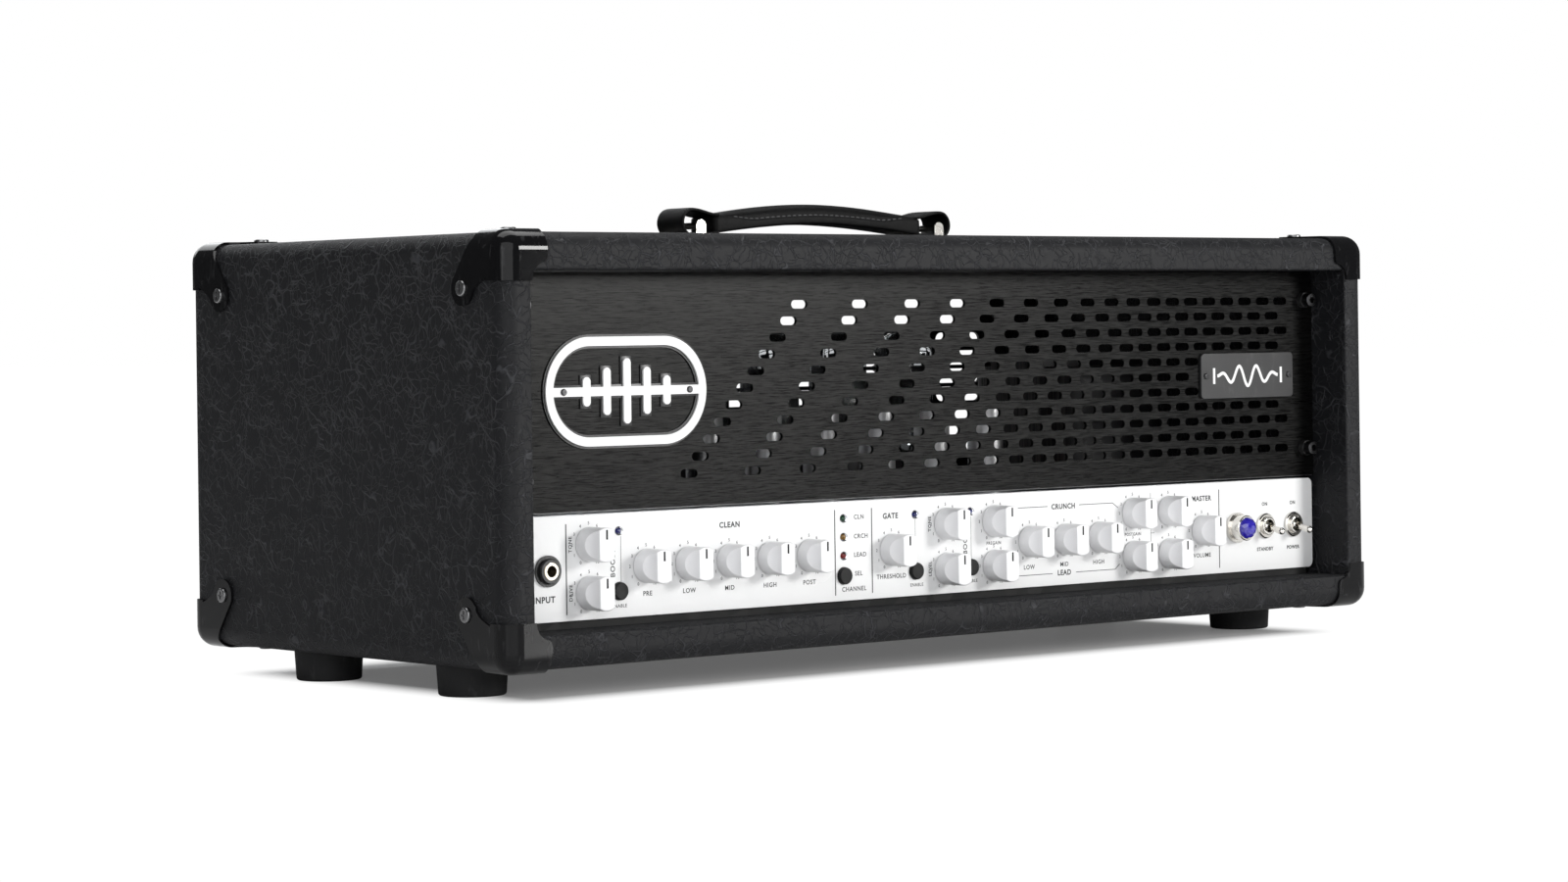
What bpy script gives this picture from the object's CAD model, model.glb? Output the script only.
from math import cos, sin, pi, radians

import bmesh
import bpy
from mathutils import Matrix, Vector


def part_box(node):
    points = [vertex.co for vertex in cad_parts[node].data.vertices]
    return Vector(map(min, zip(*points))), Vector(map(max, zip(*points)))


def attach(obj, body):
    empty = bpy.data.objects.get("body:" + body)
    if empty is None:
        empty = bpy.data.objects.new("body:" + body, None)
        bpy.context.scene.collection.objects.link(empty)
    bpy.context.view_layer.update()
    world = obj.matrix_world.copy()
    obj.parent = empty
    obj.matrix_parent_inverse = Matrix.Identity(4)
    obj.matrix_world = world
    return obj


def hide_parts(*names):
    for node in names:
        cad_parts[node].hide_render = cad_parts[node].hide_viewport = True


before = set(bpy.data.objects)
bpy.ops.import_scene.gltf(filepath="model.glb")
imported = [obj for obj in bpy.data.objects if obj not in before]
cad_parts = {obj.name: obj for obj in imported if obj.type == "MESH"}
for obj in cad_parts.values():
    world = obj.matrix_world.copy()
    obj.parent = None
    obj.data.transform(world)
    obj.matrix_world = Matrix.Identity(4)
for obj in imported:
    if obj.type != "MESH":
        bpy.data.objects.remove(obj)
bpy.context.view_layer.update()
print("frame loaded:", len(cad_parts), "nodes")

mm = 0.001
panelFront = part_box("control_panel")[0].y
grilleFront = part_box("grille_plate")[0].y
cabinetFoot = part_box("cabinet_shell")[0].z
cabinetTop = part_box("cabinet_shell")[1].z
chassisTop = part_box("chassis")[1].z
knobNames = [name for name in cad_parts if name.startswith("knob")]


# node bench: sums on sockets, and one call for every other node

class Wire:
    def __init__(self, bench, socket):
        self.bench = bench
        self.socket = socket

    def calc(self, operation, first, second):
        return self.bench.node("ShaderNodeMath", {"operation": operation}, {0: first, 1: second})

    def __add__(self, other):
        return self.calc("ADD", self, other)

    def __radd__(self, other):
        return self.calc("ADD", other, self)

    def __sub__(self, other):
        return self.calc("SUBTRACT", self, other)

    def __rsub__(self, other):
        return self.calc("SUBTRACT", other, self)

    def __mul__(self, other):
        return self.calc("MULTIPLY", self, other)

    def __rmul__(self, other):
        return self.calc("MULTIPLY", other, self)

    def __truediv__(self, other):
        return self.calc("DIVIDE", self, other)

    def __rtruediv__(self, other):
        return self.calc("DIVIDE", other, self)

    def __pow__(self, other):
        return self.calc("POWER", self, other)

    def __rpow__(self, other):
        return self.calc("POWER", other, self)

    def __abs__(self):
        return self.bench.node("ShaderNodeMath", {"operation": "ABSOLUTE"}, {0: self})

    def __gt__(self, other):
        return self.calc("GREATER_THAN", self, other)

    def __lt__(self, other):
        return self.calc("LESS_THAN", self, other)


class Bench:
    def __init__(self, name):
        self.material = bpy.data.materials.new(name)
        self.material.use_nodes = True
        self.tree = self.material.node_tree
        self.shader = self.tree.nodes["Principled BSDF"]
        self.place = self.node("ShaderNodeTexCoord", output="Object")

    def node(self, kind, settings=None, sockets=None, output=0):
        made = self.tree.nodes.new(kind)
        for key, value in (settings or {}).items():
            if key == "stops":
                for extra in value[2:]:
                    made.color_ramp.elements.new(extra[0])
                for stop, (at, colour) in zip(made.color_ramp.elements, value):
                    stop.position = at
                    stop.color = (*colour, 1)
            else:
                setattr(made, key, value)
        for key, value in (sockets or {}).items():
            self.feed(made.inputs[key], value)
        return Wire(self, made.outputs[output])

    def feed(self, socket, value):
        if isinstance(value, Wire):
            self.tree.links.new(value.socket, socket)
        else:
            socket.default_value = value

    def wear(self, **sockets):     # what the shader's own sockets hold or take
        for name, value in sockets.items():
            socket = self.shader.inputs[name.replace("_", " ")]
            if isinstance(value, tuple) and len(value) == 3 and socket.type == "RGBA":
                value = (*value, 1)
            self.feed(socket, value)

    def vector(self, operation, first, second):
        return self.node("ShaderNodeVectorMath", {"operation": operation}, {0: first, 1: second})

    def stretched(self, by):
        return self.vector("MULTIPLY", self.place, by)

    def noise(self, scale, detail=3.0, by=None, twist=0.0, rough=0.5):
        where = self.stretched(by) if by else self.place
        sockets = {"Vector": where, "Scale": scale, "Detail": detail, "Distortion": twist,
                   "Roughness": rough}
        return self.node("ShaderNodeTexNoise", {}, sockets, "Fac")

    def cells(self, scale, output="Distance"):
        return self.node("ShaderNodeTexVoronoi", {}, {"Vector": self.place, "Scale": scale}, output)

    def fade(self, value, low, high):    # 0 below low, 1 above high, smooth between
        return self.node("ShaderNodeMapRange", {"interpolation_type": "SMOOTHSTEP"},
                         {"Value": value, "From Min": low, "From Max": high})

    def blend(self, factor, first, second):
        first, second = ((*c, 1) if isinstance(c, tuple) else c for c in (first, second))
        return self.node("ShaderNodeMix", {"data_type": "RGBA"}, {0: factor, 6: first, 7: second}, 2)

    def bump(self, height, distance, strength=1.0, under=None):
        sockets = {"Height": height, "Distance": distance, "Strength": strength}
        if under:
            sockets["Normal"] = under
        return self.node("ShaderNodeBump", {}, sockets)

    def axis(self, name, of=None):
        return self.node("ShaderNodeSeparateXYZ", {}, {0: of or self.place}, name)

    def facing(self):
        return self.node("ShaderNodeNewGeometry", output="True Normal")


# finishes that several pieces share

def mouldedFinish(name, recipe):
    bench = Bench(name)
    cloud = bench.noise(recipe["cloudScale"], 3)
    skin = bench.noise(recipe["skinScale"], 2)
    streaks = bench.noise(recipe["scuffScale"], 5, by=recipe["scuffStretch"], twist=0.6)
    scuff = bench.fade(streaks, *recipe["scuffEdge"]) * recipe["scuff"]
    colour = bench.blend(cloud, recipe["dark"], recipe["light"])
    bench.wear(Base_Color=bench.blend(scuff, colour, recipe["scuffColour"]),
               Roughness=(recipe["rough"] + cloud * recipe["roughSpread"]
                          + scuff * recipe["scuffRough"]),
               Normal=bench.bump(skin, recipe["skinDepth"]))
    bench.wear(Specular_IOR_Level=recipe["specular"])
    return bench.material


def metalFinish(name, recipe):
    bench = Bench(name)
    lines = bench.noise(recipe["lineScale"], 4, by=recipe["lineStretch"])
    cloud = bench.noise(recipe["cloudScale"], 3)
    spot = bench.fade(bench.noise(recipe["cloudScale"] * 4, 4), *recipe["spotEdge"])
    colour = bench.blend(lines * 0.6 + cloud * 0.4, recipe["dark"], recipe["light"])
    bench.wear(Base_Color=bench.blend(spot * recipe["spot"], colour, recipe["spotColour"]),
               Roughness=(recipe["rough"] + lines * recipe["roughSpread"]
                          + spot * recipe["spotRough"]),
               Normal=bench.bump(lines, recipe["lineDepth"]), Metallic=recipe["metallic"])
    return bench.material


moulded = {"cloudScale": 60.0, "skinScale": 1800.0, "dark": (0.012, 0.012, 0.013),
           "light": (0.018, 0.018, 0.019), "scuff": 0.25, "scuffColour": (0.05, 0.05, 0.052),
           "scuffScale": 240.0, "scuffStretch": (1, 1, 0.35), "scuffEdge": (0.58, 0.72),
           "scuffRough": 0.12, "rough": 0.4, "roughSpread": 0.12, "skinDepth": 0.00003,
           "specular": 0.5}
metal = {"lineScale": 500.0, "lineStretch": (1, 1, 1), "cloudScale": 120.0,
         "dark": (0.5, 0.5, 0.5), "light": (0.75, 0.75, 0.74), "spot": 0.3,
         "spotColour": (0.3, 0.3, 0.3), "spotEdge": (0.62, 0.7), "spotRough": 0.1, "rough": 0.22,
         "roughSpread": 0.12, "lineDepth": 0.00002, "metallic": 1.0}

vinyl = {"dark": (0.0044, 0.0046, 0.0056), "light": (0.0074, 0.0076, 0.0090),
         "creaseColour": (0.046, 0.047, 0.052), "creaseShow": 0.6, "creaseDepth": 0.0006,
         "creases": [{"scale": 70.0, "width": 0.036, "patchScale": 45.0},
                     {"scale": 120.0, "width": 0.044, "patchScale": 75.0},
                     {"scale": 200.0, "width": 0.055, "patchScale": 105.0}],
         "patchEdge": (0.42, 0.56), "swirlScale": 38.0, "swirl": 0.022,
         "grainScale": 1500.0, "grainDepth": 0.00012, "grainRough": 0.20,
         "rough": 0.46, "ledgeRough": 0.5, "ledgeRise": 0.004, "specular": 0.22}


def vinylFinish():        # thin broken creases over a pebbled grain
    bench = Bench("vinyl_cover")
    grain = bench.noise(vinyl["grainScale"], 3)
    swirl = bench.node("ShaderNodeTexNoise", {}, {"Scale": vinyl["swirlScale"], "Detail": 2.0,
                                                  "Vector": bench.place}, "Color")
    swirl = bench.vector("SUBTRACT", swirl, (0.5, 0.5, 0.5))
    warped = bench.vector("ADD", bench.place, bench.vector("MULTIPLY", swirl, (vinyl["swirl"],) * 3))
    crease = 0.0
    for net in vinyl["creases"]:
        edge = bench.node("ShaderNodeTexVoronoi", {"feature": "DISTANCE_TO_EDGE"},
                          {"Vector": warped, "Scale": net["scale"]})
        line = 1 - bench.fade(edge, 0.0, net["width"])
        line = line * bench.fade(bench.noise(net["patchScale"], 2), *vinyl["patchEdge"])
        crease = line.calc("MAXIMUM", crease, line)
    colour = bench.blend(grain, vinyl["dark"], vinyl["light"])
    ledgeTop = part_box("control_panel")[0].z + vinyl["ledgeRise"]
    ledge = (bench.axis("Z", of=bench.facing()) > 0.9) * (bench.axis("Z") < ledgeTop)
    rough = vinyl["rough"] + grain * vinyl["grainRough"] + ledge * vinyl["ledgeRough"]
    pebbles = bench.bump(grain, vinyl["grainDepth"])
    bench.wear(Base_Color=bench.blend(crease * vinyl["creaseShow"], colour, vinyl["creaseColour"]),
               Roughness=rough, Normal=bench.bump(crease, vinyl["creaseDepth"], under=pebbles))
    bench.wear(Specular_IOR_Level=vinyl["specular"])
    return bench.material


brushed = {"dark": (0.0030, 0.0030, 0.0030), "light": (0.0135, 0.0135, 0.0132),
           "bareEdge": (0.12, 0.12, 0.122), "wall": (0.004, 0.004, 0.004),
           "fineStretch": (130.0, 60.0, 3200.0), "broadStretch": (60.0, 60.0, 1500.0),
           "fineShare": 0.65, "toneEdge": (0.40, 0.60), "rimHeight": 0.0003, "rimDepth": 0.0012,
           "rough": 0.25, "toneRough": 0.14, "depth": 0.00003, "metallic": 0.75, "specular": 0.2}


def brushedFinish():      # black anodised sheet, brushed from side to side
    bench = Bench("brushed_black_aluminium")
    fine = bench.noise(1.0, 6, by=brushed["fineStretch"], rough=0.7)
    broad = bench.noise(1.0, 4, by=brushed["broadStretch"], rough=0.6)
    hair = fine * brushed["fineShare"] + broad * (1 - brushed["fineShare"])
    tone = bench.fade(hair, *brushed["toneEdge"])
    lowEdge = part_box("grille_plate")[0].z
    rim = bench.axis("Z") < lowEdge + brushed["rimHeight"]
    rim = rim * (bench.axis("Y") < grilleFront + brushed["rimDepth"])
    wall = abs(bench.axis("Y", of=bench.facing())) < 0.6
    face = bench.blend(wall, bench.blend(tone, brushed["dark"], brushed["light"]), brushed["wall"])
    bench.wear(Base_Color=bench.blend(rim, face, brushed["bareEdge"]),
               Roughness=brushed["rough"] + tone * brushed["toneRough"],
               Normal=bench.bump(hair, brushed["depth"]))
    bench.wear(Metallic=brushed["metallic"], Specular_IOR_Level=brushed["specular"])
    return bench.material


panelPaint = {"white": (0.80, 0.80, 0.80), "shade": (0.76, 0.765, 0.77), "cloudScale": 14.0,
              "peelScale": 420.0, "peelDepth": 0.00004, "rough": 0.22, "roughSpread": 0.08}


def panelFinish():        # smooth white paint with a faint orange peel
    bench = Bench("panel_white_paint")
    peel = bench.noise(panelPaint["peelScale"], 2)
    cloud = bench.noise(panelPaint["cloudScale"], 3)
    bench.wear(Base_Color=bench.blend(cloud, panelPaint["shade"], panelPaint["white"]),
               Roughness=panelPaint["rough"] + cloud * panelPaint["roughSpread"],
               Normal=bench.bump(peel, panelPaint["peelDepth"]))
    return bench.material


zinc = {"dark": (0.42, 0.43, 0.45), "light": (0.66, 0.67, 0.69), "lip": (0.004, 0.004, 0.004),
        "lipDepth": 0.003, "lipRise": 0.002, "lipRough": 0.4, "spangleScale": 95.0,
        "scratchStretch": (30.0, 500.0, 500.0), "scratchDepth": 0.00003,
        "rough": 0.32, "roughSpread": 0.14}


def sheetSteelFinish():   # zinc spangle on folded steel, black on the lip under the panel
    bench = Bench("chassis_zinc_steel")
    tone = bench.axis("X", of=bench.cells(zinc["spangleScale"], output="Color"))
    scratch = bench.noise(1.0, 4, by=zinc["scratchStretch"])
    low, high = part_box("control_panel")
    lip = (bench.axis("Y") < high.y + zinc["lipDepth"]) * (bench.axis("Z") < low.z + zinc["lipRise"])
    plate = bench.blend(tone * 0.7 + scratch * 0.3, zinc["dark"], zinc["light"])
    bench.wear(Base_Color=bench.blend(lip, plate, zinc["lip"]), Metallic=1 - lip,
               Roughness=zinc["rough"] + tone * zinc["roughSpread"] + lip * zinc["lipRough"],
               Normal=bench.bump(scratch, zinc["scratchDepth"]))
    return bench.material


board = {"mask": (0.010, 0.075, 0.030), "track": (0.022, 0.125, 0.055), "pitch": 0.0051,
         "trackDepth": 0.00006, "rough": 0.28, "trackRough": 0.1}


def boardFinish():        # solder mask over a grid of copper tracks
    bench = Bench("board_green_mask")
    pitch = board["pitch"]
    snapped = bench.vector("SNAP", bench.place, (pitch, pitch / 2, pitch))
    dice = bench.node("ShaderNodeTexWhiteNoise", {}, {"Vector": snapped}, "Value")
    track = bench.fade(dice, 0.48, 0.52)
    bench.wear(Base_Color=bench.blend(track, board["mask"], board["track"]),
               Roughness=board["rough"] + track * board["trackRough"],
               Normal=bench.bump(track, board["trackDepth"]))
    return bench.material


core = {"sheetStretch": (3.0, 1080.0, 3.0), "coat": (0.011, 0.011, 0.012),
        "edge": (0.085, 0.082, 0.078), "edgeShow": 0.7, "dustScale": 90.0, "dustRough": 0.2,
        "rough": 0.38, "depth": 0.00012}


def transformerFinish():  # black paint, with the core's stacked sheets showing as fine lines
    bench = Bench("transformer_black")
    sides = abs(bench.axis("Y", of=bench.facing())) < 0.5
    lines = bench.fade(bench.noise(1.0, 2, by=core["sheetStretch"]), 0.45, 0.6) * sides
    dust = bench.noise(core["dustScale"], 5)
    bench.wear(Base_Color=bench.blend(lines * core["edgeShow"], core["coat"], core["edge"]),
               Roughness=core["rough"] + dust * core["dustRough"],
               Normal=bench.bump(lines * 0.8 + dust * 0.2, core["depth"]))
    return bench.material


leather = {"dark": (0.0015, 0.0015, 0.0017), "light": (0.0032, 0.0032, 0.0034),
           "poreScale": 1700.0, "poreDepth": 0.00010, "foldScale": 150.0,
           "foldStretch": (1.0, 0.5, 1.6), "foldDepth": 0.00022, "rubScale": 55.0,
           "rubEdge": (0.5, 0.75), "rough": 0.42, "foldRough": 0.18, "rubRough": 0.08,
           "specular": 0.12}


def leatherFinish():
    bench = Bench("strap_leather")
    pores = bench.bump(bench.cells(leather["poreScale"]), leather["poreDepth"])
    folds = bench.noise(leather["foldScale"], 5, by=leather["foldStretch"], twist=0.7)
    rub = bench.fade(bench.noise(leather["rubScale"], 4), *leather["rubEdge"])
    bench.wear(Base_Color=bench.blend(folds * 0.6 + rub * 0.4, leather["dark"], leather["light"]),
               Roughness=leather["rough"] + folds * leather["foldRough"] - rub * leather["rubRough"],
               Normal=bench.bump(folds, leather["foldDepth"], under=pores))
    bench.wear(Specular_IOR_Level=leather["specular"])
    return bench.material


jack = {"sleeveRadius": 0.00475, "sleeve": (0.72, 0.66, 0.56), "washer": (0.009, 0.009, 0.009),
        "turnedScale": 700.0, "turnedDepth": 0.00002, "rough": 0.16, "roughSpread": 0.12}


def jackFinish():         # plated sleeve inside a black washer and nut
    bench = Bench("jack_nickel_and_black")
    low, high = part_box("input_jack")
    middle = ((low.x + high.x) / 2, 0, (low.z + high.z) / 2)
    away = bench.node("ShaderNodeVectorMath", {"operation": "DISTANCE"},
                      {0: bench.stretched((1, 0, 1)), 1: middle}, "Value")
    outer = away > jack["sleeveRadius"]
    turned = bench.noise(jack["turnedScale"], 3)
    bench.wear(Base_Color=bench.blend(outer, jack["sleeve"], jack["washer"]), Metallic=1 - outer,
               Roughness=jack["rough"] + (turned + outer) * jack["roughSpread"],
               Normal=bench.bump(turned, jack["turnedDepth"]))
    return bench.material


def glassFinish(name, tint, rough, smoke):
    bench = Bench(name)
    film = bench.noise(70.0, 4)
    bench.wear(Base_Color=bench.blend(film, tint, smoke), Roughness=rough + film * 0.04,
               Normal=bench.bump(bench.noise(60.0, 2), 0.00006))
    bench.wear(Transmission_Weight=1.0, IOR=1.45)
    return bench.material


violet = {"deep": (0.010, 0.006, 0.20), "bright": (0.06, 0.04, 0.75), "glowDeep": (0.02, 0.01, 0.35),
          "glowBright": (0.10, 0.08, 1.0), "glow": 0.05, "depthScale": 380.0}


def jewelFinish():
    bench = Bench("jewel_violet_glass")
    depth = bench.noise(violet["depthScale"], 3)
    bench.wear(Base_Color=bench.blend(depth, violet["deep"], violet["bright"]),
               Roughness=0.04 + depth * 0.05, Normal=bench.bump(depth, 0.00012),
               Emission_Color=bench.blend(depth, violet["glowDeep"], violet["glowBright"]))
    bench.wear(Transmission_Weight=0.35, IOR=1.55, Emission_Strength=violet["glow"],
               Coat_Weight=1.0, Coat_Roughness=0.03)
    return bench.material


def glowFinish(name, deep, bright, strength):
    bench = Bench(name)
    grain = bench.noise(900.0, 2)
    colour = bench.blend(grain, deep, bright)
    bench.wear(Base_Color=colour, Roughness=0.25 + grain * 0.1, Emission_Color=colour)
    bench.wear(Emission_Strength=strength)
    return bench.material


mouldedKinds = {    # material name, and what differs from the shared recipe
    "capPlastic": ("cap_black_plastic", {
        "dark": (0.0035, 0.0035, 0.0040), "light": (0.006, 0.006, 0.0065), "specular": 0.16,
        "rough": 0.07, "roughSpread": 0.05, "skinDepth": 0.00002, "skinScale": 500.0,
        "scuff": 0.35}),
    "rubber": ("foot_rubber", {
        "dark": (0.009, 0.009, 0.0095), "light": (0.013, 0.013, 0.014), "specular": 0.35,
        "rough": 0.62, "skinScale": 1300.0, "skinDepth": 0.00008, "scuff": 0.5}),
    "badge": ("badge_black_satin", {"rough": 0.30, "skinScale": 2600.0}),
    "emblem": ("emblem_white_enamel", {
        "dark": (0.74, 0.74, 0.74), "light": (0.80, 0.80, 0.80), "scuffColour": (0.6, 0.6, 0.6),
        "scuff": 0.12, "rough": 0.22}),
    "switchPlastic": ("switch_body_plastic", {"rough": 0.45}),
    "ceramic": ("socket_ceramic", {
        "dark": (0.55, 0.53, 0.48), "light": (0.68, 0.66, 0.61), "scuffColour": (0.35, 0.32, 0.28),
        "rough": 0.35}),
    "rearBlack": ("rear_powder_coat", {"rough": 0.5, "skinScale": 1100.0, "skinDepth": 0.00009}),
    "inlet": ("inlet_black_plastic", {"rough": 0.38}),
    "knob": ("knob_white_plastic", {
        "dark": (0.74, 0.74, 0.755), "light": (0.80, 0.80, 0.81), "scuffColour": (0.66, 0.66, 0.66),
        "scuff": 0.15, "rough": 0.30, "roughSpread": 0.1, "skinScale": 1400.0,
        "skinDepth": 0.00002}),
    "button": ("button_black_plastic", {
        "dark": (0.004, 0.004, 0.0042), "light": (0.006, 0.006, 0.0063), "rough": 0.34,
        "scuff": 0.15, "specular": 0.18}),
    "ink": ("panel_print_ink", {
        "dark": (0.028, 0.029, 0.031), "light": (0.040, 0.041, 0.043), "rough": 0.5, "scuff": 0.1}),
    "paleInk": ("pale_print_ink", {
        "dark": (0.70, 0.70, 0.70), "light": (0.80, 0.80, 0.80), "scuffColour": (0.5, 0.5, 0.5),
        "rough": 0.4, "scuff": 0.2}),
    "greyInk": ("dial_print_ink", {
        "dark": (0.05, 0.051, 0.054), "light": (0.075, 0.076, 0.08), "rough": 0.5, "scuff": 0.1}),
    "pointer": ("pointer_line_paint", {
        "dark": (0.004, 0.004, 0.004), "light": (0.006, 0.006, 0.006), "rough": 0.4,
        "scuff": 0.1, "specular": 0.25}),
    "sleeveRed": ("lead_sleeve_red", {
        "dark": (0.42, 0.012, 0.008), "light": (0.60, 0.025, 0.012),
        "scuffColour": (0.3, 0.05, 0.04), "rough": 0.35}),
    "thread": ("handle_thread", {
        "dark": (0.045, 0.045, 0.047), "light": (0.10, 0.10, 0.102), "scuffColour": (0.2, 0.2, 0.2),
        "rough": 0.7, "skinDepth": 0.0001}),
}
metalKinds = {
    "blackScrew": ("black_oxide_screw", {
        "dark": (0.035, 0.035, 0.037), "light": (0.085, 0.085, 0.088), "rough": 0.26}),
    "capScrew": ("dark_chrome_screw", {
        "dark": (0.11, 0.11, 0.112), "light": (0.32, 0.32, 0.325), "spotColour": (0.4, 0.4, 0.4),
        "rough": 0.24}),
    "zincScrew": ("zinc_screw", {"dark": (0.45, 0.45, 0.42), "light": (0.7, 0.7, 0.68)}),
    "spacer": ("turned_spacer", {
        "dark": (0.10, 0.10, 0.10), "light": (0.26, 0.26, 0.26), "lineStretch": (1, 8, 1),
        "rough": 0.3}),
    "potCan": ("pot_can_plated", {"lineStretch": (1, 6, 1)}),
    "nickel": ("bright_nickel", {
        "dark": (0.62, 0.60, 0.56), "light": (0.82, 0.80, 0.76), "rough": 0.12,
        "roughSpread": 0.08, "lineDepth": 0.00001}),
    "shield": ("shield_can_aluminium", {
        "dark": (0.6, 0.6, 0.61), "light": (0.84, 0.84, 0.85), "lineStretch": (1, 1, 9),
        "rough": 0.25}),
    "getter": ("getter_mirror", {
        "dark": (0.55, 0.55, 0.56), "light": (0.8, 0.8, 0.8), "rough": 0.08}),
    "plateMetal": ("valve_plate_metal", {
        "dark": (0.07, 0.07, 0.072), "light": (0.16, 0.16, 0.16), "lineStretch": (1, 1, 5),
        "rough": 0.45}),
}
glows = {    # deep colour, bright colour, strength
    "blue": ((0.006, 0.008, 0.06), (0.02, 0.03, 0.26), 0.12),
    "green": ((0.004, 0.03, 0.012), (0.01, 0.11, 0.04), 0.10),
    "amber": ((0.12, 0.055, 0.002), (0.45, 0.22, 0.01), 0.12),
    "red": ((0.12, 0.004, 0.003), (0.42, 0.015, 0.01), 0.12),
}

finish = {
    "vinyl": vinylFinish(), "grille": brushedFinish(), "panel": panelFinish(),
    "steel": sheetSteelFinish(), "board": boardFinish(), "transformer": transformerFinish(),
    "leather": leatherFinish(), "jack": jackFinish(), "jewel": jewelFinish(),
    "lens": glassFinish("light_lens_clear", (0.93, 0.95, 0.98), 0.02, (0.86, 0.88, 0.92)),
    "bulb": glassFinish("valve_glass", (0.95, 0.96, 0.96), 0.01, (0.80, 0.82, 0.84)),
}
for kind, (name, own) in mouldedKinds.items():
    finish[kind] = mouldedFinish(name, {**moulded, **own})
for kind, (name, own) in metalKinds.items():
    finish[kind] = metalFinish(name, {**metal, **own})
for kind, (deep, bright, strength) in glows.items():
    finish[kind] = glowFinish("light_core_" + kind, deep, bright, strength)
print("finishes made:", len(finish))


# finishes on the frame's own nodes

finishNodes = {
    "vinyl": ["cabinet_shell"],
    "capPlastic": ["corner_caps"],
    "capScrew": ["corner_screws"],
    "rubber": ["feet"],
    "zincScrew": ["foot_screws"],
    "grille": ["grille_plate"],
    "blackScrew": ["grille_screws", "badge_screws", "rear_screws"],
    "spacer": ["grille_spacers"],
    "badge": ["name_badge"],
    "emblem": ["front_emblem"],
    "panel": ["control_panel"],
    "steel": ["chassis"],
    "board": ["circuit_board"],
    "potCan": ["potentiometers"],
    "switchPlastic": ["push_switches"],
    "lens": ["indicator_lights"],
    "jewel": ["pilot_jewel"],
    "jack": ["input_jack"],
    "ceramic": ["valve_sockets"],
    "bulb": ["power_valves"],
    "shield": ["small_valves"],
    "transformer": ["power_transformer", "output_transformer"],
    "rearBlack": ["rear_grille"],
    "inlet": ["mains_inlet"],
    "leather": ["handle_strap"],
    "knob": knobNames,
    "button": [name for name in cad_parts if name.startswith("button")],
}
nodeFinish = {name: kind for kind, names in finishNodes.items() for name in names}
for nodeName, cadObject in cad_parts.items():
    for place in cadObject.material_slots:
        place.material = finish[nodeFinish.get(nodeName, "nickel")]
print("frame nodes dressed")


# mesh makers: everything below is drawn in millimetres and placed with a matrix

def frontPlace(x, height, out=0.0, turn=0.0, face=None):     # local z points out to the front
    y = (panelFront if face is None else face) - out * mm
    z = cabinetFoot + height * mm
    stand = Matrix(((1, 0, 0, x * mm), (0, 0, -1, y), (0, 1, 0, z), (0, 0, 0, 1)))
    return stand @ Matrix.Rotation(radians(turn), 4, "Z") @ Matrix.Scale(mm, 4)


def chassisPlace(x, y, out=0.0):
    return Matrix.Translation((x * mm, y * mm, chassisTop + out * mm)) @ Matrix.Scale(mm, 4)


def lathe(bm, profile, steps, place):
    turns = [2 * pi * i / steps for i in range(steps)]
    rings = []
    for radius, z in profile:
        count = 1 if radius < 1e-6 else steps
        ring = [(radius * cos(a), radius * sin(a), z) for a in turns[:count]]
        rings.append([bm.verts.new(place @ Vector(point)) for point in ring])
    skinRings(bm, rings, steps)


def skinRings(bm, rings, steps):
    for low, high in zip(rings, rings[1:]):
        for i in range(steps):
            j = (i + 1) % steps
            corners = [low[i % len(low)], low[j % len(low)]]
            corners += [high[j % len(high)], high[i % len(high)]]
            corners = list(dict.fromkeys(corners))
            if len(corners) > 2:
                bm.faces.new(corners)


def loft(bm, sections, place):        # closed skin over equal rings, with flat ends
    rings = [[bm.verts.new(place @ Vector(point)) for point in section] for section in sections]
    skinRings(bm, rings, len(rings[0]))
    bm.faces.new(rings[0][::-1])
    bm.faces.new(rings[-1])


def softBlock(bm, low, high, radius, place, steps=2):
    made = bmesh.ops.create_cube(bm, size=1.0)["verts"]
    for vert in made:
        vert.co = Vector([a if c < 0 else b for c, a, b in zip(vert.co, low, high)])
    edges = list({edge for vert in made for edge in vert.link_edges})
    rounded = bmesh.ops.bevel(bm, geom=edges, offset=radius, segments=steps, affect="EDGES",
                              profile=0.5)
    touched = {vert for face in rounded["faces"] for vert in face.verts}
    touched |= {vert for vert in made if vert.is_valid}
    whole = set(touched)
    for vert in touched:
        whole.update(v for edge in vert.link_edges for v in edge.verts)
    for vert in whole:
        vert.co = place @ vert.co


def ribbon(bm, points, width, place, thick=0.04):     # a printed line through points
    for (ax, ay), (bx, by) in zip(points, points[1:]):
        run = Vector((bx - ax, by - ay, 0))
        side = Vector((-run.y, run.x, 0)).normalized() * width / 2
        a, b = Vector((ax, ay, 0)), Vector((bx, by, 0))
        base = [a - side, b - side, b + side, a + side]
        low = [bm.verts.new(place @ point) for point in base]
        high = [bm.verts.new(place @ (point + Vector((0, 0, thick)))) for point in base]
        skinRings(bm, [low, high], 4)
        bm.faces.new(low[::-1])
        bm.faces.new(high)


def piece(name, bm, kind, body, smooth=True, subdivide=0):
    bmesh.ops.recalc_face_normals(bm, faces=bm.faces)
    mesh = bpy.data.meshes.new(name)
    bm.to_mesh(mesh)
    bm.free()
    return standing(name, mesh, kind, body, smooth, subdivide)


def standing(name, mesh, kind, body, smooth, subdivide):
    made = bpy.data.objects.new(name, mesh)
    bpy.context.scene.collection.objects.link(made)
    mesh.materials.clear()
    mesh.materials.append(finish[kind])
    if smooth:
        for face in mesh.polygons:
            face.use_smooth = True
        mesh.set_sharp_from_angle(angle=radians(38))
    if subdivide:
        layer = made.modifiers.new("finer", "SUBSURF")
        layer.levels = layer.render_levels = subdivide
    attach(made, body)
    return made


# camera, light and floor

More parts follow.
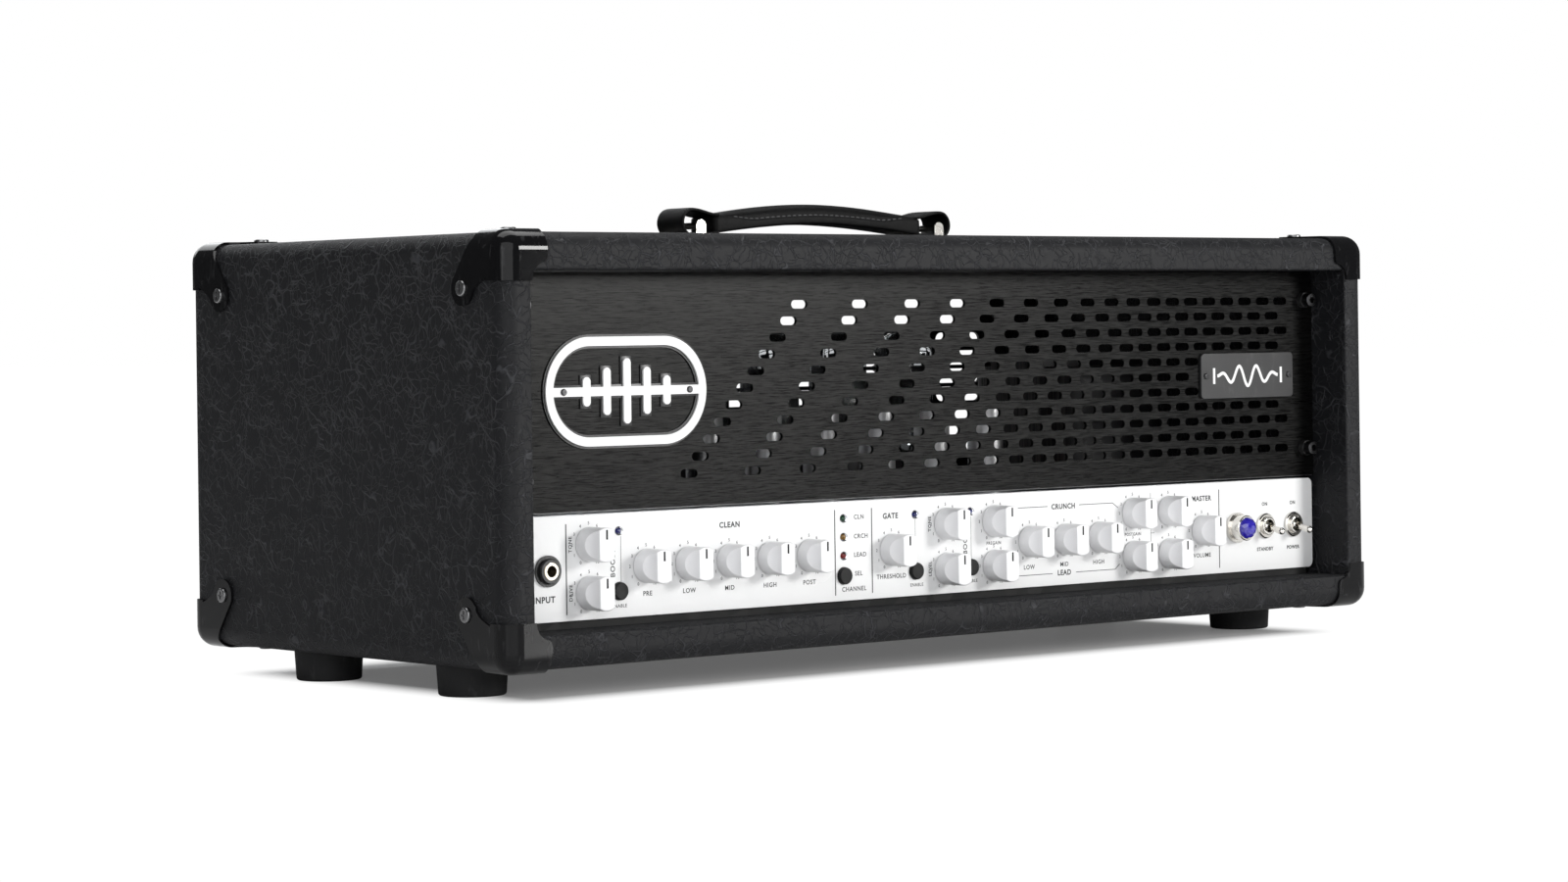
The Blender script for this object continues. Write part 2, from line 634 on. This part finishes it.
camera = {"at": (-1.52859, -1.78490, 0.19606), "turn": (90.0, 0.768, -40.293), "lens": 87.249,
          "sensor": 36.0, "shiftY": -0.0680}
studio = {"sky": 0.10, "skyTint": (0.96, 0.98, 1.0)}
table = {"white": (0.90, 0.90, 0.90), "bright": (0.92, 0.92, 0.92), "rough": 0.30, "specular": 0.35,
         "shadowX": 0.30, "shadowY": 0.12, "shadowFade": (-0.01, 0.038), "paper": 1.02,
         "rings": (0.4, 1.0, 3.0, 30.0), "steps": 64}
lamps = [    # name, place, looks at, size, power, tint
    ("overhead", (0.0, 0.1, 2.2), (0, 0, 0.1), (2.4, 1.2), 44.0, (1, 1, 1)),
    ("key", (1.45, -2.25, 0.72), (0, -0.1, 0.12), (0.6, 0.6), 46.0, (1, 0.995, 0.98)),
    ("fill", (-1.9, -2.9, 1.35), (0, 0, 0.12), (4.0, 2.5), 72.0, (0.985, 0.99, 1)),
    ("edge", (-2.15, -1.15, 0.55), (-0.34, -0.14, 0.14), (0.42, 1.0), 2.2, (0.97, 0.985, 1)),
    ("back", (0.4, 2.2, 1.2), (0, 0, 0.15), (2.0, 1.0), 16.0, (0.97, 0.985, 1)),
]


def makeStudio():
    scene = bpy.context.scene
    data = bpy.data.cameras.new("view")
    data.lens = camera["lens"]
    data.sensor_width = camera["sensor"]
    data.shift_y = camera["shiftY"]
    data.clip_start = 0.02
    data.clip_end = 100.0
    eye = bpy.data.objects.new("view", data)
    eye.location = camera["at"]
    eye.rotation_euler = [radians(a) for a in camera["turn"]]
    scene.collection.objects.link(eye)
    scene.camera = eye
    scene.view_settings.view_transform = "Standard"

    world = bpy.data.worlds.new("studio")
    scene.world = world
    world.use_nodes = True
    tree = world.node_tree
    sky = tree.nodes["Background"]
    paper = tree.nodes.new("ShaderNodeBackground")
    rays = tree.nodes.new("ShaderNodeLightPath")
    either = tree.nodes.new("ShaderNodeMixShader")
    sky.inputs["Color"].default_value = (*studio["skyTint"], 1)
    sky.inputs["Strength"].default_value = studio["sky"]
    paper.inputs["Color"].default_value = (1, 1, 1, 1)
    tree.links.new(rays.outputs["Is Camera Ray"], either.inputs[0])
    tree.links.new(sky.outputs[0], either.inputs[1])
    tree.links.new(paper.outputs[0], either.inputs[2])
    tree.links.new(either.outputs[0], tree.nodes["World Output"].inputs[0])

    for name, at, aim, size, power, tint in lamps:
        light = bpy.data.lights.new(name, "AREA")
        light.shape = "RECTANGLE"
        light.size, light.size_y = size
        light.energy = power
        light.color = tint
        lamp = bpy.data.objects.new(name, light)
        lamp.location = at
        lamp.rotation_euler = (Vector(aim) - Vector(at)).to_track_quat("-Z", "Y").to_euler()
        scene.collection.objects.link(lamp)


def makeFloor():          # glossy white table that fades into the paper behind
    bench = Bench("studio_table")
    cloud = bench.noise(3.0, 2)
    bench.wear(Base_Color=bench.blend(cloud, table["white"], table["bright"]),
               Roughness=table["rough"] + cloud * 0.05)
    bench.wear(Specular_IOR_Level=table["specular"])
    outX = abs(bench.axis("X")) - table["shadowX"]
    outY = abs(bench.axis("Y")) - table["shadowY"]
    outX, outY = (out.calc("MAXIMUM", out, 0.0) for out in (outX, outY))
    away = (outX * outX + outY * outY) ** 0.5
    paper = bench.node("ShaderNodeEmission", {}, {"Color": (1, 1, 1, 1), "Strength": table["paper"]})
    seen = bench.node("ShaderNodeLightPath", output="Is Camera Ray")
    shown = seen * bench.fade(away, *table["shadowFade"])
    own = Wire(bench, bench.shader.outputs[0])
    mixed = bench.node("ShaderNodeMixShader", {}, {0: shown, 1: own, 2: paper})
    bench.tree.links.new(mixed.socket, bench.tree.nodes["Material Output"].inputs[0])

    bm = bmesh.new()
    turns = [2 * pi * i / table["steps"] for i in range(table["steps"])]
    rings = [[bm.verts.new((r * cos(a), r * sin(a), 0)) for a in turns] for r in table["rings"]]
    skinRings(bm, rings, table["steps"])
    bm.faces.new(rings[0])
    bmesh.ops.recalc_face_normals(bm, faces=bm.faces)
    mesh = bpy.data.meshes.new("table")
    bm.to_mesh(mesh)
    mesh.materials.append(bench.material)
    floor = bpy.data.objects.new("table", mesh)
    bpy.context.scene.collection.objects.link(floor)


makeStudio()
makeFloor()
print("studio made")


# carrying strap

strap = {"y": -5.7, "half": 12.5, "neck": 84.0, "topMid": 23.0, "topDrop": 7.6, "underMid": 10.5,
         "underDrop": 6.5, "flange": 5.6, "ridgeHalf": 8.6, "ridgeHalfEnd": 11.2, "widenFrom": 48.0,
         "widenOver": 34.0, "sectionStep": 3.0, "loopX": 100.2, "loopZ": 10.8, "loopRadius": 7.9,
         "band": 2.2, "fill": 0.8, "stitch": 3.0, "stitchGap": 1.3, "stitchRadius": 0.38,
         "stitchedLength": 136.0}
strapPlace = Matrix.Translation((0, strap["y"] * mm, cabinetTop)) @ Matrix.Scale(mm, 4)


def smooth01(value):
    value = min(max(value, 0.0), 1.0)
    return value * value * (3 - 2 * value)


def strapLevels(x):       # underside, flange top, ridge top and ridge half width along the strap
    along = min(abs(x) / strap["neck"], 1.0)
    under = strap["underMid"] - strap["underDrop"] * along ** 1.7
    top = strap["topMid"] - strap["topDrop"] * along ** 1.9
    end = smooth01((abs(x) - strap["widenFrom"]) / strap["widenOver"])
    flangeTop = (under + strap["flange"]) * (1 - end) + (top - 1.6) * end
    half = strap["ridgeHalf"] * (1 - end) + strap["ridgeHalfEnd"] * end
    return under, flangeTop, top, half


def strapSection(x):
    under, flangeTop, top, half = strapLevels(x)
    wide = strap["half"]
    right = [(0.0, under), (6.0, under), (wide - 1.2, under + 0.05), (wide - 0.3, under + 0.5),
             (wide, under + 1.3), (wide, flangeTop - 1.3), (wide - 0.3, flangeTop - 0.5),
             (wide - 0.8, flangeTop - 0.1), (half + 0.7, flangeTop - 0.15),
             (half + 0.1, flangeTop - 0.55)]
    rise = top - flangeTop + 0.2
    for step in range(7):     # padded ridge, squarer than an ellipse
        a = radians(90.0 * step / 7)
        right.append((half * cos(a) ** 0.75, flangeTop - 0.2 + rise * sin(a) ** 0.85))
    ring = right + [(0.0, top)] + [(-y, z) for y, z in right[:0:-1]]
    return [(x, y, z) for y, z in ring]


def bandSection(at, along):           # a flat leather band, square to its path
    out = Vector((-along[1], along[0])).normalized() * strap["band"] / 2
    wide = strap["half"]
    face = [(-wide, 0.45), (0.4 - wide, 1), (-6, 1), (0, 1), (6, 1), (wide - 0.4, 1), (wide, 0.45)]
    ring = [(y, -side) for y, side in face] + face[::-1]
    return [(at[0] + out.x * side, y, at[1] + out.y * side) for y, side in ring]


def loopPath():
    cx, cz, r = strap["loopX"], strap["loopZ"], strap["loopRadius"]
    path = [(77.0, 14.9), (83.0, 15.3), (89.0, 16.6), (94.5, 18.1)]
    path += [(cx + r * sin(radians(a)), cz + r * cos(radians(a))) for a in range(0, 181, 15)]
    return path + [(94.0, 3.1), (88.0, 3.7), (82.0, 5.0), (77.0, 6.1)]


def makeStrap():
    bm = bmesh.new()
    count = int(2 * strap["neck"] / strap["sectionStep"])
    stations = [-strap["neck"] + strap["sectionStep"] * i for i in range(count + 1)]
    loft(bm, [strapSection(x) for x in stations], strapPlace)
    for side in (-1, 1):
        path = loopPath()
        sections = []
        for i, at in enumerate(path):
            before, after = path[max(i - 1, 0)], path[min(i + 1, len(path) - 1)]
            ring = bandSection(at, (after[0] - before[0], after[1] - before[1]))
            sections.append([(side * x, y, z) for x, y, z in ring])
        loft(bm, sections, strapPlace)
    made = piece("strap_leather", bm, "leather", "handle_strap", subdivide=1)
    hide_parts("handle_strap")

    bm = bmesh.new()
    pace = strap["stitch"] + strap["stitchGap"]
    count = int(strap["stitchedLength"] / pace)
    reach, thick = strap["stitch"] / 2, strap["stitchRadius"]
    outline = [(0, -reach), (0.24, 0.2 - reach), (0.36, -reach / 2), (thick, 0)]
    outline += [(r, -z) for r, z in outline[2::-1]]
    for side in (-1, 1):
        for i in range(count + 1):
            x = (i - count / 2) * pace
            _, level, _, half = strapLevels(x)
            y = side * (half + (strap["half"] - half) * 0.5)
            slope = strapLevels(x + 1)[1] - strapLevels(x - 1)[1]
            lie = Matrix.Rotation(pi / 2 - slope / 2, 4, "Y")
            lathe(bm, outline, 8, strapPlace @ Matrix.Translation((x, y, level + 0.02)) @ lie)
    piece("strap_stitches", bm, "thread", "handle_strap")


makeStrap()
print("strap made")


# printing on the control panel

letters = {    # size, and how far the strokes are thickened
    "bold": (4.4, 0.16), "heavySmall": (3.1, 0.12), "input": (4.7, 0.18), "plain": (3.7, 0.07),
    "small": (2.7, 0.04), "upright": (3.1, 0.05), "uprightPlain": (4.4, 0.08), "dial": (2.5, 0.03),
}
ink = {"lift": 0.01, "wordLift": 0.03, "thick": 0.02, "spacing": 1.14, "heavyRule": 0.75,
       "bracketRule": 0.42, "fineRule": 0.28}
dial = {"radius": 11.5, "step": 30.0, "first": 150.0, "numbers": 11}
boldWords = [("CLEAN", -166.8, 71.0), ("GATE", -45.0, 71.0), ("CRUNCH", 96.4, 71.0),
             ("LEAD", 96.6, 30.7), ("MASTER", 218.0, 71.1)]
plainWords = [("PRE", -226.2, 35.5), ("LOW", -196.6, 35.5), ("MID", -167.3, 35.5),
              ("HIGH", -137.5, 35.5), ("POST", -108.0, 35.5), ("CLN", -69.6, 71.5),
              ("CRCH", -68.2, 60.3), ("LEAD", -68.9, 49.6), ("SEL", -70.2, 38.7),
              ("CHANNEL", -73.9, 29.9), ("THRESHOLD", -44.7, 35.7), ("LOW", 67.0, 35.4),
              ("MID", 96.7, 35.8), ("HIGH", 126.2, 35.8), ("VOLUME", 218.1, 35.4)]
smallWords = [("ENABLE", -24.8, 29.7), ("ENABLE", -245.9, 29.7), ("ENABLE", 18.9, 29.7),
              ("PREGAIN", 37.8, 51.4), ("POSTGAIN", 156.3, 51.4)]
heavySmallWords = [("ON", 276.3, 65.4), ("ON", 302.5, 65.4), ("STANDBY", 276.3, 36.7),
                   ("POWER", 302.6, 36.8)]
uprightWords = [("TONE", -279.4, 65.0), ("DRIVE", -279.2, 38.5), ("TONE", -13.9, 65.0),
                ("LEVEL", -13.9, 38.5)]
uprightPlainWords = [("BOOST", -250.2, 53.5), ("BOOST", 14.6, 53.5)]
inputWord = (-297.5, 35.6)
heavyRules = [(x, 26.8, 76.3) for x in (-282.3, -88.2, -59.7, 233.9)]
fineRules = [[(x, 68.2), (x, 43.2)] for x in (-244.6, -25.5, 19.3)]
fineRules += [[(172.2, 76.5), (172.2, 72.5)], [(172.2, 57.0), (172.2, 46.0)],
              [(172.2, 51.5), (175.5, 51.5)]]
bracketRules = [[(56.9, 71.5), (83.0, 71.5)], [(109.8, 71.5), (138.8, 71.5), (143.5, 68.4)],
                [(57.6, 30.6), (86.6, 30.6)], [(106.6, 30.6), (140.4, 30.6), (144.4, 33.6)]]
glyphs = {}


def wordMesh(text, style):
    if (text, style) not in glyphs:
        data = bpy.data.curves.new("word", "FONT")
        data.body = text
        data.size, data.offset = letters[style]
        data.align_x = "CENTER"
        data.align_y = "CENTER"
        data.space_character = ink["spacing"]
        data.extrude = ink["thick"]
        data.resolution_u = 3
        holder = bpy.data.objects.new("word", data)
        bpy.context.scene.collection.objects.link(holder)
        bpy.context.view_layer.update()
        glyphs[text, style] = bpy.data.meshes.new_from_object(holder)
        bpy.data.objects.remove(holder)
    return glyphs[text, style]


def stamp(bm, text, style, x, height, turn=0.0):
    mesh = wordMesh(text, style).copy()
    mesh.transform(frontPlace(x, height, ink["wordLift"], turn))
    bm.from_mesh(mesh)
    bpy.data.meshes.remove(mesh)


def nodeMiddle(name):      # x and cabinet height of a node's middle, in millimetres
    low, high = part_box(name)
    return (low.x + high.x) / 2 / mm, ((low.z + high.z) / 2 - cabinetFoot) / mm


def makePrint():
    onPanel = frontPlace(0, 0, ink["lift"])
    bm = bmesh.new()
    for text, x, height in boldWords:
        stamp(bm, text, "bold", x, height)
    for text, x, height in heavySmallWords:
        stamp(bm, text, "heavySmall", x, height)
    stamp(bm, "INPUT", "input", *inputWord)
    for x, low, high in heavyRules:
        ribbon(bm, [(x, low), (x, high)], ink["heavyRule"], onPanel)
    piece("panel_print_bold", bm, "ink", "cabinet", smooth=False)

    bm = bmesh.new()
    for style, words, turn in (("plain", plainWords, 0), ("small", smallWords, 0),
                               ("upright", uprightWords, 90),
                               ("uprightPlain", uprightPlainWords, 90)):
        for text, x, height in words:
            stamp(bm, text, style, x, height, turn)
    for line in bracketRules:
        ribbon(bm, line, ink["bracketRule"], onPanel)
    for line in fineRules:
        ribbon(bm, line, ink["fineRule"], onPanel)
    piece("panel_print_fine", bm, "ink", "cabinet", smooth=False)

    bm = bmesh.new()
    for name in knobNames:
        x, height = nodeMiddle(name)
        for number in range(dial["numbers"]):
            a = radians(dial["first"] - dial["step"] * number)
            across, up = -dial["radius"] * sin(a), dial["radius"] * cos(a)
            stamp(bm, str(number), "dial", x + across, height + up)
    piece("panel_print_dials", bm, "greyInk", "cabinet", smooth=False)


makePrint()
print("panel printed")


# knob pointer lines, light cores, jewel

pointer = {"width": 1.3, "high": 9.3, "low": 3.0, "sink": 0.35, "proud": 0.06, "tip": 1.1,
           "tipDepth": 1.1, "tipTop": -0.22}


def makePointers():
    half, high = pointer["width"] / 2, pointer["high"]
    for name in knobNames:
        place = frontPlace(*nodeMiddle(name), face=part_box(name)[0].y)
        bm = bmesh.new()
        softBlock(bm, (-half, pointer["low"], -pointer["sink"]), (half, high - 0.9, pointer["proud"]),
                  0.05, place)
        softBlock(bm, (-half, high - pointer["tip"], -pointer["tipDepth"]),
                  (half, high - 0.28, pointer["tipTop"]), 0.12, place)
        piece("pointer_" + name[5:], bm, "pointer", name)


makePointers()

lights = [    # x, height, colour of the core
    (-245.9, 71.1, "blue"), (-81.6, 71.1, "green"), (-81.6, 60.3, "amber"),
    (-81.6, 49.4, "red"), (-25.5, 71.1, "blue"), (18.9, 71.1, "blue"),
]


cupOutline = [(0, -2.2), (1.0, -2.2), (1.5, -0.9), (1.9, -0.7), (2.38, -0.5), (2.38, -2.8), (0, -2.8)]
coreOutline = [(0, -2.1), (0.8, -2.0), (0.85, -0.6), (0.8, 0.1), (0.5, 0.5), (0, 0.6)]


def makeLightCores():
    cups = bmesh.new()
    for x, height, kind in lights:
        lathe(cups, cupOutline, 24, frontPlace(x, height))
    piece("light_cups", cups, "getter", "cabinet")
    for kind in glows:
        bm = bmesh.new()
        for x, height, colour in lights:
            if colour == kind:
                lathe(bm, coreOutline, 20, frontPlace(x, height))
        piece("light_core_" + kind, bm, kind, "cabinet")


makeLightCores()

jewel = {"radius": 6.75, "sides": 12, "seat": 6.2, "back": -2.6,
         "rings": ((1.0, 0.0), (1.0, 1.2), (0.86, 2.9), (0.60, 4.4), (0.28, 5.45))}


def jewelRing(bm, part, z, turned, place):
    radius, sides = jewel["radius"] * part, jewel["sides"]
    turns = [2 * pi * (j + turned) / sides for j in range(sides)]
    return [bm.verts.new(place @ Vector((radius * cos(a), radius * sin(a), z))) for a in turns]


def makeJewel():          # a cut lens: rings turned by half a facet, left flat
    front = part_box("pilot_jewel")[0].y
    place = frontPlace(*nodeMiddle("pilot_jewel"), (panelFront - front) / mm - jewel["seat"])
    bm = bmesh.new()
    rings = [jewelRing(bm, part, z, 0.5 * (i % 2), place) for i, (part, z) in enumerate(jewel["rings"])]
    for i, (low, high) in enumerate(zip(rings, rings[1:])):
        for j in range(jewel["sides"]):
            k = (j + 1) % jewel["sides"]
            if i % 2 == 0:
                facets = [low[j], low[k], high[j]], [low[k], high[k], high[j]]
            else:
                facets = [low[j], high[k], high[j]], [low[j], low[k], high[k]]
            for facet in facets:
                bm.faces.new(facet)
    bm.faces.new(rings[-1])
    back = jewelRing(bm, 1.0, jewel["back"], 0.0, place)
    skinRings(bm, [back, rings[0]], jewel["sides"])
    bm.faces.new(back[::-1])
    made = piece("pilot_lens", bm, "jewel", "cabinet", smooth=False)
    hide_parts("pilot_jewel")


makeJewel()
print("pointers, lights and lens made")


# emblem outline and badge graphic

emblem = {"x": -240.0, "size": (112.0, 60.0), "stroke": 5.0, "grow": 1.3, "thick": 0.9, "lift": 0.02,
          "barGap": 14.0, "barReach": 18.0, "barStep": 5.0}
grilleMiddle = nodeMiddle("grille_plate")[1]


def pillRing(width, height, steps=20):
    r = height / 2
    reach = width / 2 - r
    turns = [radians(-90 + 180 * i / steps) for i in range(steps + 1)]
    ring = [(reach + r * cos(a), r * sin(a)) for a in turns]
    return ring + [(-x, -y) for x, y in ring]


def makeEmblemOutline():
    place = frontPlace(emblem["x"], grilleMiddle, face=grilleFront)
    bm = bmesh.new()
    width, height = emblem["size"]
    grow, stroke, thick, low = emblem["grow"], emblem["stroke"], emblem["thick"], emblem["lift"]
    outer = pillRing(width + 2 * grow, height + 2 * grow)
    inner = pillRing(width - 2 * (stroke + grow), height - 2 * (stroke + grow))
    rings = []
    for ring, z in ((inner, low), (outer, low), (outer, thick - 0.15), (outer, thick), (inner, thick)):
        rings.append([bm.verts.new(place @ Vector((px, py, z))) for px, py in ring])
    rings.append(rings[0])
    skinRings(bm, rings, len(outer))
    half = stroke / 2 + grow
    level = width / 2 - stroke
    softBlock(bm, (-level, -half, low), (level, half, thick - 0.05), 0.1, place)
    for step in range(-2, 3):
        tall = emblem["barReach"] - emblem["barStep"] * abs(step) + grow
        x = step * emblem["barGap"]
        softBlock(bm, (x - half, -tall, low), (x + half, tall, thick - 0.1), 0.3, place)
    piece("emblem_outline", bm, "badge", "cabinet")


badge = {"x": 260.0, "amplitude": 6.6, "length": 56.0, "turns": 3.5, "stroke": 2.0, "thick": 0.09,
         "steps": 80, "barX": 31.0, "barHalf": 5.0}


def makeBadgeGraphic():       # a plain wave between two bars
    place = frontPlace(badge["x"], grilleMiddle, 0.01, face=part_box("name_badge")[0].y)
    bm = bmesh.new()
    points = []
    for i in range(badge["steps"] + 1):
        t = i / badge["steps"]
        swing = badge["amplitude"] * sin(pi * t) * sin(2 * pi * badge["turns"] * t)
        points.append((badge["length"] * (t - 0.5), swing))
    sections = []
    rise = Vector((0, 0, badge["thick"]))
    for i, (x, y) in enumerate(points):
        bx, by = points[max(i - 1, 0)]
        ax, ay = points[min(i + 1, badge["steps"])]
        side = Vector((by - ay, ax - bx, 0)).normalized() * badge["stroke"] / 2
        at = Vector((x, y, 0))
        sections.append([at - side, at + side, at + side + rise, at - side + rise])
    loft(bm, sections, place)
    for x in (-badge["barX"], badge["barX"]):
        bar = [(x, -badge["barHalf"]), (x, badge["barHalf"])]
        ribbon(bm, bar, badge["stroke"], place, badge["thick"])
    piece("badge_wave", bm, "paleInk", "cabinet")


makeEmblemOutline()
makeBadgeGraphic()
print("emblem and badge made")


# valves, leads and small parts inside

valve = {"places": [(x, 78.0) for x in (-20.0, 38.0, 96.0, 154.0)], "radius": 18.9, "base": 16.9,
         "sit": 5.0, "baseHeight": 14.0, "height": 78.0, "wall": 0.9, "dome": 13.0,
         "plate": (11.0, 6.0), "rod": 0.6, "rodGap": 6.5, "fin": 12.0, "mica": 15.5, "micaThick": 0.5}


def bulbOutline(low, high):
    dome, radius = valve["dome"], valve["radius"]
    line = [(0, low + 0.3), (valve["base"] - 2.2, low + 0.3), (radius - 1.2, low + 5.0),
            (radius, low + 11.0), (radius, high - dome)]
    for a in range(12, 91, 13):
        line.append((radius - dome * (1 - cos(radians(a))), high - dome + dome * sin(radians(a))))
    return line + [(2.4, high - 0.2), (0, high - 0.1)]


def baseOutline(low):
    sit, base = valve["sit"], valve["base"]
    return [(0, sit), (14.5, sit), (base - 0.5, sit + 0.4), (base, sit + 1.2), (base, low - 3.0),
            (base - 0.8, low - 2.4), (base - 0.8, low - 1.6), (base, low - 1.0), (base - 0.6, low),
            (0, low)]


def getterOutline(high):
    return [(0, high - 2.0), (6.0, high - 2.6), (11.5, high - 5.8), (13.2, high - 8.8),
            (12.6, high - 8.9), (10.8, high - 6.2), (5.8, high - 3.0), (0, high - 2.5)]


def makeValves():
    low = valve["sit"] + valve["baseHeight"]
    high = low + valve["height"]
    outside = bulbOutline(low, high)
    inside = [(max(r - valve["wall"], 0), min(max(z, low + 1.2), high - 1.1)) for r, z in outside]
    wide, deep = valve["plate"]
    rod = valve["rod"]
    glass, bases, plates, mirrors, micas = (bmesh.new() for _ in range(5))
    for x, y in valve["places"]:
        place = chassisPlace(x, y)
        lathe(glass, outside, 40, place)
        lathe(glass, inside[::-1], 40, place)
        lathe(bases, baseOutline(low), 40, place)
        softBlock(plates, (-wide, -deep, low + 16.0), (wide, deep, high - 22.0), 2.0, place, steps=3)
        for side in (-1, 1):
            fin = side * valve["fin"]
            softBlock(plates, (fin - 0.4, -3.0, low + 18.0), (fin + 0.4, 3.0, high - 24.0), 0.2, place)
            lathe(plates, [(0, low + 4.0), (rod, low + 4.0), (rod, high - 14.0), (0, high - 14.0)], 8,
                  place @ Matrix.Translation((side * valve["rodGap"], 0, 0)))
        for z in (low + 14.0, high - 20.0):
            over = z + valve["micaThick"]
            lathe(micas, [(0, z), (valve["mica"], z), (valve["mica"], over), (0, over)], 32, place)
        lathe(mirrors, getterOutline(high), 32, place)
    made = piece("valve_bulbs", glass, "bulb", "cabinet")
    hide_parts("power_valves")
    for name, bm, kind in (("bases", bases, "inlet"), ("plates", plates, "plateMetal"),
                           ("getters", mirrors, "getter"), ("micas", micas, "ceramic")):
        piece("valve_" + name, bm, kind, "cabinet")


makeValves()

leads = [    # finish, radius, hand-placed route on top of the chassis
    ("sleeveRed", 1.3, [(206, 6, 3), (190, -6, 6), (168, -22, 4), (140, -30, 2.2), (112, -34, 2.2),
                        (84, -30, 2.2), (62, -20, 4), (52, -8, 2)]),
    ("sleeveRed", 1.3, [(206, 12, 3), (188, 2, 8), (162, -12, 5), (138, -22, 2.2), (116, -26, 2.2),
                        (98, -18, 4), (92, -6, 2)]),
    ("inlet", 1.2, [(206, 28, 3), (190, 26, 9), (174, 18, 6), (160, 12, 2.2), (150, 6, 2)]),
    ("inlet", 1.2, [(-190, 50, 3), (-170, 44, 9), (-140, 34, 3), (-110, 24, 2.2), (-84, 22, 2.2),
                    (-70, 30, 2)]),
    ("sleeveRed", 1.2, [(-190, 62, 3), (-172, 60, 8), (-146, 50, 3), (-118, 42, 2.2),
                        (-90, 46, 2.2), (-62, 60, 2.4), (-46, 70, 3)]),
]


def makeLeads():
    for number, (kind, radius, route) in enumerate(leads):
        data = bpy.data.curves.new("lead", "CURVE")
        data.dimensions = "3D"
        data.bevel_depth = radius * mm
        data.bevel_resolution = 3
        data.use_fill_caps = True
        run = data.splines.new("NURBS")
        run.points.add(len(route) - 1)
        for point, (x, y, z) in zip(run.points, route):
            point.co = (x * mm, y * mm, chassisTop + z * mm, 1)
        run.order_u = 3
        run.use_endpoint_u = True
        data.materials.append(finish[kind])
        made = bpy.data.objects.new("inner_lead_" + str(number + 1), data)
        bpy.context.scene.collection.objects.link(made)
        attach(made, "cabinet")


makeLeads()
print("inside made")

print("sizes written")
